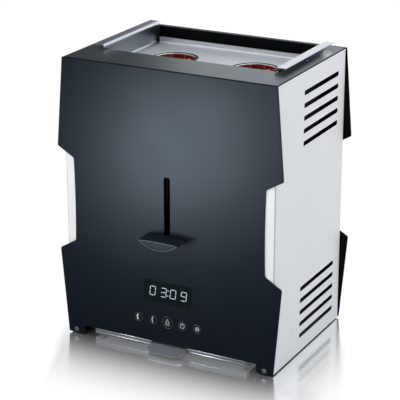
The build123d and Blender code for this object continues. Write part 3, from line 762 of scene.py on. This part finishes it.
def begin():
    """Leaves nothing selected before a new shape is added."""
    bpy.ops.object.select_all(action="DESELECT")


def choose(piece):
    """Makes a piece the active one, and the only one selected."""
    begin()
    piece.select_set(True)
    bpy.context.view_layer.objects.active = piece


def edit(piece):
    """Opens a piece in edit mode, with all its points selected."""
    bpy.context.view_layer.objects.active = piece
    bpy.ops.object.mode_set(mode="EDIT")
    bpy.ops.mesh.select_mode(type="VERT")
    bpy.ops.mesh.select_all(action="SELECT")


def done():
    bpy.ops.object.mode_set(mode="OBJECT")


def pick_faces(piece, test):
    """In edit mode, selects only the faces whose middle and normal pass a test."""
    bpy.ops.mesh.select_mode(type="FACE")
    bpy.ops.mesh.select_all(action="DESELECT")
    mesh = bmesh.from_edit_mesh(piece.data)
    for face in mesh.faces:
        face.select_set(test(face.calc_center_median(), face.normal))
    bmesh.update_edit_mesh(piece.data)


def pick_points(piece, test):
    """In edit mode, selects only the points whose place passes a test."""
    bpy.ops.mesh.select_mode(type="VERT")
    bpy.ops.mesh.select_all(action="DESELECT")
    mesh = bmesh.from_edit_mesh(piece.data)
    for point in mesh.verts:
        point.select_set(test(point.co))
    mesh.select_flush(True)
    bmesh.update_edit_mesh(piece.data)


def face_outwards():
    """In edit mode, turns every face to the outside."""
    bpy.ops.mesh.select_all(action="SELECT")
    bpy.ops.mesh.normals_make_consistent(inside=False)


def set_place(piece):
    """Moves an object's place, turn and scale into its mesh."""
    choose(piece)
    bpy.ops.object.transform_apply(location=True, rotation=True, scale=True)
    return piece


def use(piece, kind, **settings):
    """Adds a modifier and applies it."""
    choose(piece)
    modifier = piece.modifiers.new(kind.title(), kind)
    for key, value in settings.items():
        setattr(modifier, key, value)
    bpy.ops.object.modifier_apply(modifier=modifier.name)


def smooth(piece, angle=30.0):
    choose(piece)
    bpy.ops.object.shade_smooth_by_angle(angle=math.radians(angle))


def copy_of(piece, matrix):
    """A copy with a mesh of its own, moved by a matrix."""
    twin = piece.copy()
    twin.data = piece.data.copy()
    twin.data.transform(matrix)
    bpy.context.scene.collection.objects.link(twin)
    return twin


def joined(pieces, name):
    """One piece of that name, made of all the given ones."""
    whole = pieces[0]
    choose(whole)
    for piece in pieces[1:]:
        piece.select_set(True)
    if len(pieces) > 1:
        bpy.ops.object.join()
    whole.name = name
    whole.data.name = name
    return whole


def drop(piece):
    bpy.data.objects.remove(piece)


def copies_at(places, model):
    """Copies of a model at all places. The model itself goes."""
    copies = [copy_of(model, Matrix.Translation(place)) for place in places]
    drop(model)
    return copies


def stand_at(piece, x, y, z):
    """Puts a flat shape, drawn on XY, upright on a front face at that place."""
    piece.data.transform(Matrix.Translation((x, y, z)) @ facing_front)


def circle(sides, radius, filled=False):
    """A new circle on XY."""
    begin()
    fill = "NGON" if filled else "NOTHING"
    bpy.ops.mesh.primitive_circle_add(vertices=sides, radius=radius, fill_type=fill)
    return bpy.context.object


def rectangle(place, width, depth, turn=(0.0, 0.0, 0.0)):
    """A new rectangle, drawn on XY, then turned and put at its place."""
    begin()
    bpy.ops.mesh.primitive_plane_add(size=1.0, location=place, rotation=turn)
    piece = bpy.context.object
    piece.scale = (width, depth, 1.0)
    return set_place(piece)


def cylinder(sides, radius, low, high):
    """A new cylinder round Z, between two levels."""
    begin()
    middle = (0.0, 0.0, (low + high) / 2)
    bpy.ops.mesh.primitive_cylinder_add(
        vertices=sides, radius=radius, depth=high - low, location=middle,
    )
    return set_place(bpy.context.object)


# Display digits


def printed(piece):
    """Gives a flat shape its print_thickness, upwards from Z 0."""
    use(piece, "SOLIDIFY", thickness=print_thickness, offset=1.0)
    return piece


def segment(length):
    """One bar of a digit along X, with pointed ends."""
    reach = length / 2 - digit_gap - digit_stroke / 2
    piece = circle(sides=6, radius=digit_stroke / 2, filled=True)
    edit(piece)
    for side in (-1, 1):
        pick_points(piece, lambda p: side * p.x > digit_stroke / 8)
        bpy.ops.transform.translate(value=(side * reach, 0.0, 0.0))
    done()
    return piece


def digits():
    """The segments of the shown time, on both sides of X 0."""
    top = (digit_height - digit_stroke) / 2
    side = digit_width / 2
    lying = segment(digit_width)
    upright = segment(top)
    upright.data.transform(Matrix.Rotation(math.radians(90), 4, "Z"))
    seven = (
        (lying, 0.0, top), (upright, -side, top / 2), (upright, side, top / 2), (lying, 0.0, 0.0),
        (upright, -side, -top / 2), (upright, side, -top / 2), (lying, 0.0, -top),
    )
    bars = []
    for figure, across in zip(shown_time, digit_places):
        for model, x, y in (seven[i] for i in segments_of[figure]):
            bars.append(copy_of(model, Matrix.Translation((across + x, y, 0.0))))
    drop(lying)
    drop(upright)
    return bars


def display_digits():
    """The lit time on the display window."""
    low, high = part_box("display_window")
    dot = circle(sides=16, radius=colon_dot, filled=True)
    colon = copies_at([(colon_place, level * colon_reach, 0.0) for level in (-1, 1)], dot)
    piece = joined(digits() + colon, "display_digits")
    slant = Matrix.Identity(4)
    slant[0][1] = math.tan(digit_slant)
    piece.data.transform(slant)
    printed(piece)
    stand_at(piece, 0.0, low.y, (low.z + high.z) / 2 + digit_lift)
    dress(piece, lit_segments())
    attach(piece, "casing")


# Buttons' rings and signs, drawn on XY


def flat_ring(outer, inner, sides=48, start=0.0, end=360.0):
    """A flat ring, or the arc of one between two angles in degrees."""
    piece = circle(sides, outer)
    edit(piece)
    if end - start < 360.0:
        pick_points(piece, lambda p: not start <= math.degrees(math.atan2(p.y, p.x)) % 360.0 <= end)
        bpy.ops.mesh.delete(type="VERT")
        bpy.ops.mesh.select_all(action="SELECT")
    bpy.ops.mesh.extrude_edges_move()
    ratio = inner / outer
    bpy.ops.transform.resize(value=(ratio, ratio, 1.0), center_override=(0.0, 0.0, 0.0))
    face_outwards()
    done()
    return printed(piece)


def flat_bar(x, y, width, height):
    """A flat bar with rounded corners, about a point."""
    piece = rectangle((x, y, 0.0), width, height)
    edit(piece)
    bpy.ops.mesh.bevel(offset=bar_rounding * min(width, height), segments=3, affect="VERTICES")
    done()
    return printed(piece)


def arc_sign(width, middle, reach=50.0):
    """An arc, open to the right, whose middle is that far to the right of the sign's."""
    arc = flat_ring(
        sign_arc + width / 2, sign_arc - width / 2, sides=72, start=180.0 - reach, end=180.0 + reach,
    )
    arc.data.transform(Matrix.Translation((sign_arc + middle, 0.0, 0.0)))
    return arc


def dark_sign():
    """A broad arc."""
    return [arc_sign(width=3.0 * sign_stroke, middle=-0.5 * sign_size)]


def light_sign():
    """A less broad arc."""
    return [arc_sign(width=2.0 * sign_stroke, middle=-0.4 * sign_size)]


def start_sign():
    """A triangle over a line."""
    across = -0.1 * sign_size
    triangle = flat_ring(sign_size, sign_size - 1.7 * sign_stroke, sides=3)
    triangle.data.transform(Matrix.Translation((across, 0.28 * sign_size, 0.0)))
    line = flat_bar(across, -0.78 * sign_size, width=1.6 * sign_size, height=sign_stroke)
    return [triangle, line]


def clock_sign():
    """A clock face with its hand at the top."""
    radius = 0.85 * sign_size
    face = flat_ring(radius, radius - sign_stroke)
    hand = flat_bar(0.0, 0.40 * sign_size, width=1.3 * sign_stroke, height=0.6 * sign_size)
    return [face, hand]


def warm_sign():
    """A thick bar between a thin arc and a thin bar."""
    arc = arc_sign(width=sign_stroke, middle=-0.5 * sign_size, reach=35.0)
    thick = flat_bar(0.0, 0.0, width=1.7 * sign_stroke, height=1.5 * sign_size)
    thin = flat_bar(0.58 * sign_size, 0.0, width=sign_stroke, height=1.4 * sign_size)
    return [arc, thick, thin]


button_signs = {
    "dark": dark_sign,
    "light": light_sign,
    "start": start_sign,
    "timer": clock_sign,
    "warm": warm_sign,
}


def cap_radius(node):
    """Radius of a button's front face."""
    low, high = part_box(node)
    middle = (low.x + high.x) / 2
    return max(p.co.x - middle for p in nodes[node].data.vertices if p.co.y < low.y + near)


def bead_ring(radius):
    """A half-round bead round Z, standing on Z 0."""
    reach = radius + ring_width / 2
    piece = circle(sides=64, radius=reach)
    edit(piece)
    level = 0.0
    for step in range(1, ring_steps + 1):
        turn = math.pi * step / ring_steps
        rise = ring_height * math.sin(turn) - level
        ratio = (radius + ring_width / 2 * math.cos(turn)) / reach
        bpy.ops.mesh.extrude_edges_move(TRANSFORM_OT_translate={"value": (0.0, 0.0, rise)})
        bpy.ops.transform.resize(value=(ratio, ratio, 1.0), center_override=(0.0, 0.0, 0.0))
        level += rise
        reach *= ratio
    bpy.ops.mesh.select_all(action="SELECT")
    bpy.ops.mesh.region_to_loop()
    bpy.ops.mesh.bridge_edge_loops()
    face_outwards()
    done()
    smooth(piece, angle=50.0)
    return piece


def dress_buttons():
    """Each button's raised ring, as wide as its cap, and printed sign, on its own body."""
    ink = sign_print()
    bead = ring_plastic()
    for name, draw in button_signs.items():
        low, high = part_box(name + "_button")
        centre = (low + high) / 2
        radius = cap_radius(name + "_button")
        ring = joined([bead_ring(radius - ring_inset - ring_width / 2)], name + "_ring")
        sign = joined(draw(), name + "_sign")
        for piece, material in ((ring, bead), (sign, ink)):
            stand_at(piece, centre.x, low.y, centre.z)
            dress(piece, material)
            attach(piece, name + "_push")


# Screws


def pan_head(radius, height):
    """A domed screw head on Z 0 with a hexagon socket, and its shank below."""
    deepest = screw_bite * height
    screw = cylinder(sides=32, radius=radius, low=0.0, high=height)
    edit(screw)
    pick_faces(screw, lambda middle, normal: normal.z > facing)
    bpy.ops.mesh.bevel(offset=min(screw_dome, deepest), segments=4, affect="EDGES")
    pick_faces(screw, lambda middle, normal: normal.z < -facing)
    bpy.ops.mesh.inset(thickness=radius - shank_radius)
    bpy.ops.mesh.extrude_region_move(TRANSFORM_OT_translate={"value": (0, 0, -shank_length)})
    done()
    depth = min(screw_socket_depth, deepest)
    hexagon = screw_socket * radius
    socket = cylinder(sides=6, radius=hexagon, low=height - depth, high=height + depth)
    use(screw, "BOOLEAN", operation="DIFFERENCE", object=socket, solver="EXACT")
    drop(socket)
    smooth(screw)
    return screw


def foot_screws():
    """Screws in the plates' feet, two in front and two behind."""
    low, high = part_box("plate_screws")
    head_radius = (high.z - low.z) / 2
    across = high.x - head_radius
    level = (low.z + high.z) / 2
    model = pan_head(head_radius, front_face - low.y)
    screws = []
    for side in (-1, 1):
        for y, turn in ((front_face, facing_front), (rear_face, facing_back)):
            screws.append(copy_of(model, Matrix.Translation((side * across, y, level)) @ turn))
    drop(model)
    piece = joined(screws, "foot_screws")
    dress(piece, finishes["screw_steel"])
    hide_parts("plate_screws")
    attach(piece, "casing")


def frame_screws():
    """A screw under the middle of each rail, which holds the top frame."""
    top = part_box("top_frame")[1].z
    model = pan_head(frame_screw_radius, frame_screw_height)
    places = [(side * frame_screw_across, frame_screw_y, top) for side in (-1, 1)]
    piece = joined(copies_at(places, model), "frame_screws")
    dress(piece, finishes["screw_steel"])
    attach(piece, "casing")


# Lever knob


def dished_knob():
    """The knob with its front face sunk inside a raised rim."""
    low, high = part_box("lever_knob")

    def in_front(middle, normal):
        return normal.y < -square_on and middle.y < low.y + near

    piece = copy_of(nodes["lever_knob"], Matrix.Identity(4))
    piece.name = "dished_knob"
    choose(piece)
    bpy.ops.mesh.customdata_custom_splitnormals_clear()
    edit(piece)
    bpy.ops.mesh.remove_doubles(threshold=merge_gap)
    pick_faces(piece, in_front)
    bpy.ops.mesh.dissolve_limited(angle_limit=math.radians(1.0))
    pick_faces(piece, in_front)
    height = high.z - low.z
    rims = knob_rim_top + knob_rim_low
    shrink = (1.0 - 2 * knob_rim_end / (high.x - low.x), 1.0, 1.0 - rims / height)
    still = (0.0, low.y, high.z - height * knob_rim_top / rims)
    for sunk in (0.0, knob_dish):
        bpy.ops.mesh.extrude_region_move(TRANSFORM_OT_translate={"value": (0.0, sunk, 0.0)})
        bpy.ops.transform.resize(value=shrink, center_override=still)
    done()
    smooth(piece)
    dress(piece, finishes["knob_plastic"])
    # Painted highlight: the rim's front-leaning faces get a paler plastic.
    piece.data.materials.append(knob_rim_highlight())
    for face in piece.data.polygons:
        leans = face.normal.y < -knob_rim_lean and face.normal.z < knob_rim_lean
        if leans and face.center.y < low.y + knob_rim_depth:
            face.material_index = 1
    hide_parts("lever_knob")
    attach(piece, "lift")


# Heaters


def tube_axes(node):
    """The upright tubes of a heater node, each as x, y, lower end and upper end."""
    mesh = bmesh.new()
    mesh.from_mesh(nodes[node].data)
    bmesh.ops.remove_doubles(mesh, verts=mesh.verts, dist=merge_gap)
    unseen = set(mesh.verts)
    tubes = []
    while unseen:
        tube = {unseen.pop()}
        edge = set(tube)
        while edge:
            edge = {e.other_vert(p) for p in edge for e in p.link_edges} & unseen
            unseen -= edge
            tube |= edge
        lows = [min(p.co[i] for p in tube) for i in range(3)]
        highs = [max(p.co[i] for p in tube) for i in range(3)]
        tubes.append(((lows[0] + highs[0]) / 2, (lows[1] + highs[1]) / 2, lows[2], highs[2]))
    mesh.free()
    return tubes


def coil_of(length):
    """A close helix of wire round Z, from 0 up to a length."""
    coil = circle(sides=6, radius=coil_wire)
    coil.location = (coil_radius, 0.0, coil_wire)
    coil.rotation_euler = (math.radians(90), 0.0, 0.0)
    set_place(coil)
    turns = int((length - 2 * coil_wire) / coil_pitch)
    use(
        coil, "SCREW", axis="Z", screw_offset=coil_pitch, iterations=turns,
        steps=10, render_steps=10,
    )
    smooth(coil, angle=180.0)
    return coil


def heater_coils():
    """The glowing coil inside each heater tube."""
    glow = hot_coil()
    for side in ("left", "right"):
        tubes = tube_axes(side + "_heater_tubes")
        model = coil_of(tubes[0][3] - tubes[0][2] - 2 * coil_end_gap)
        places = [(x, y, foot + coil_end_gap) for x, y, foot, _ in tubes]
        piece = joined(copies_at(places, model), side + "_heater_coils")
        dress(piece, glow)
        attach(piece, "casing")


# Drip tray


def tongue_points(wall):
    """The tongue's front end, half its width, its corners' radius and its upper face."""
    points = nodes["drip_tray"].data.vertices
    places = [p.co for p in points if p.co.y < wall - tongue_clear]
    front = min(p.y for p in places)
    half = max(p.x for p in places)
    straight = max(p.x for p in places if p.y < front + near)
    return front, half, half - straight, max(p.z for p in places)


def tray_hem():
    """Two folds along the front wall on each side of the pull, sloping outwards as they go down."""
    wall = tray_wall_y()
    inner = tongue_points(wall)[1] + pull_gap
    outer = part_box("drip_tray")[1].x - hem_end
    folds = []
    for upper, lower in hem_bands:
        begin()
        middle = (0.0, wall, tray_top - (upper + lower) / 2)
        bpy.ops.mesh.primitive_cube_add(size=1.0, location=middle)
        fold = bpy.context.object
        fold.scale = (outer - inner, hem_sheet, lower - upper)
        set_place(fold)
        edit(fold)
        pick_points(fold, lambda p: p.y < wall and p.z < tray_top - lower + near)
        bpy.ops.transform.translate(value=(0.0, -hem_slope * (lower - upper), 0.0))
        bpy.ops.mesh.select_all(action="SELECT")
        bpy.ops.mesh.bevel(offset=hem_rounding, segments=2, affect="EDGES")
        done()
        smooth(fold)
        folds += copies_at([(side * (inner + outer) / 2, 0.0, 0.0) for side in (-1, 1)], fold)
    piece = joined(folds, "tray_hem")
    dress(piece, finishes["tray_steel"])
    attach(piece, "tray")


def tray_pull():
    """The pull: a slope from the front wall's upper edge down to the tongue's front end."""
    wall = tray_wall_y()
    front, half, radius, level = tongue_points(wall)
    middle = (front + wall) / 2
    piece = rectangle((0.0, middle, 0.0), 2 * half, wall - front)
    edit(piece)
    pick_points(piece, lambda p: p.y < middle)
    bpy.ops.mesh.bevel(offset=radius, segments=10, affect="VERTICES")
    done()
    slope = Matrix.Identity(4)
    slope[2][1] = (tray_top - pull_drop - level - pull_edge) / (wall - front)
    slope[2][3] = level + pull_edge - slope[2][1] * front
    piece.data.transform(slope)
    edit(piece)
    bpy.ops.mesh.extrude_region_move()
    bpy.ops.transform.resize(value=(1.0, 1.0, 0.0), center_override=(0.0, 0.0, level))
    face_outwards()
    done()
    piece = joined([piece], "tray_pull")
    smooth(piece)
    dress(piece, pull_steel())
    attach(piece, "tray")


display_digits()
dress_buttons()
foot_screws()
frame_screws()
dished_knob()
heater_coils()
tray_hem()
tray_pull()


# Floor, light and camera


def floor_finish():
    """Pale, and a mirror close to the object's foot. The camera sees it white beyond the shade."""
    finish = finish_named("floor")
    x = finish.axis(0)
    y = finish.axis(1)
    beside = (abs(x) - panel_face).larger(0.0)
    before = (abs(y - panel_middle) - plate_half_depth).larger(0.0)
    away = (beside * beside + before * before).root()
    mirror = mirror_strength * (1.0 - away / mirror_reach).larger(0.0)
    pale = finish.node("ShaderNodeBsdfDiffuse", {}, {"Color": floor_tone})
    near_foot = finish.blend(mirror, pale, finish.glossy(white, floor_roughness))
    leaning = x - shade_lean * (front_face - y).larger(0.0)
    left = (-panel_face - leaning).fade(0.0, shade_reach_left)
    right = (leaning - panel_face).fade(0.0, shade_reach_right)
    unshaded = left.larger(right).larger(before.fade(0.0, shade_reach_front))
    seen = finish.ray("Is Camera Ray") * unshaded
    shown = finish.blend(seen, near_foot, finish.emission(white))
    dim = finish.emission(finish.mix(away.fade(0.0, dim_reach), dim_tone, floor_tone))
    return finish.output(finish.blend(finish.ray("Is Glossy Ray"), shown, dim))


def floor():
    piece = rectangle((0.0, 0.0, 0.0), floor_size, floor_size)
    piece.name = "floor"
    dress(piece, floor_finish())


def world():
    """White to look at, a cool white in reflections, and a soft even light otherwise."""
    backdrop = bpy.data.worlds.new("studio")
    bpy.context.scene.world = backdrop
    finish = Finish(backdrop)
    soft = finish.background(white, world_strength)
    lit = finish.blend(finish.ray("Is Glossy Ray"), soft, finish.background(cool_white))
    seen = finish.ray("Is Camera Ray").larger(finish.ray("Is Transmission Ray"))
    shader = finish.blend(seen, lit, finish.background(white))
    finish.output(shader, "ShaderNodeOutputWorld")


def dark_card(name, low, high):
    """An upright dark card that only mirrors show, to keep the pale studio off a part of them."""
    middle = [(a + b) / 2 for a, b in zip(low, high)]
    upright = (math.radians(90), 0.0, 0.0)
    piece = rectangle(middle, high[0] - low[0], high[2] - low[2], upright)
    piece.name = name
    finish = finish_named(name)
    dress(piece, finish.output(finish.emission(card_tone)))
    piece.visible_camera = False
    piece.visible_diffuse = False
    piece.visible_shadow = False


def set_up(piece, direction):
    """Turns a lamp or a camera to look along a direction, and adds it to the scene."""
    piece.rotation_euler = direction.to_track_quat("-Z", "Y").to_euler()
    bpy.context.scene.collection.objects.link(piece)


def soft_box(name, place, target, width, height, power, spread=180.0, diffuse=True, glossy=True):
    """An area light at a place, turned to a target. It isn't seen itself."""
    light = bpy.data.lights.new(name, "AREA")
    light.shape = "RECTANGLE"
    light.size = width
    light.size_y = height
    light.energy = power
    light.spread = math.radians(spread)
    lamp = bpy.data.objects.new(name, light)
    lamp.location = place
    lamp.visible_camera = False
    lamp.visible_diffuse = diffuse
    lamp.visible_glossy = glossy
    set_up(lamp, Vector(target) - Vector(place))


def lights():
    """Soft light from above and all round, and a glow that only glossy faces show."""
    soft_box(
        "top_light", place=(0.0, 0.0, 2.2), target=(0.0, 0.0, 0.0),
        width=2.4, height=2.4, power=34.0, glossy=False,
    )
    soft_box(
        "front_light", place=(-1.2, -1.8, 1.4), target=(0.0, 0.0, 0.2),
        width=1.2, height=1.2, power=16.0,
    )
    soft_box(
        "side_light", place=(2.0, 0.2, 1.2), target=(0.1, 0.0, 0.2),
        width=1.4, height=1.2, power=4.0,
    )
    soft_box(
        "rear_light", place=(-0.15, 1.5, 0.20), target=(0.0, 0.12, 0.2),
        width=0.8, height=0.28, power=5.0, spread=100.0,
    )
    soft_box(
        "plate_glow", place=(-0.225, -0.56, 0.135), target=(0.04, front_face, 0.274),
        width=0.18, height=0.18, power=0.50, spread=58.0, diffuse=False,
    )


def camera():
    """At the photo's viewing angle."""
    ahead = Vector((
        -math.sin(camera_turn) * math.cos(camera_pitch),
        math.cos(camera_turn) * math.cos(camera_pitch),
        -math.sin(camera_pitch),
    ))
    data = bpy.data.cameras.new("camera")
    data.lens = camera_lens
    data.sensor_width = sensor_width
    piece = bpy.data.objects.new("camera", data)
    piece.location = camera_target - camera_distance * ahead
    set_up(piece, ahead)
    bpy.context.scene.camera = piece


floor()
dark_card("rear_card", *rear_card)
dark_card("front_card", *front_card)
world()
lights()
camera()
bpy.context.scene.view_settings.view_transform = "Standard"
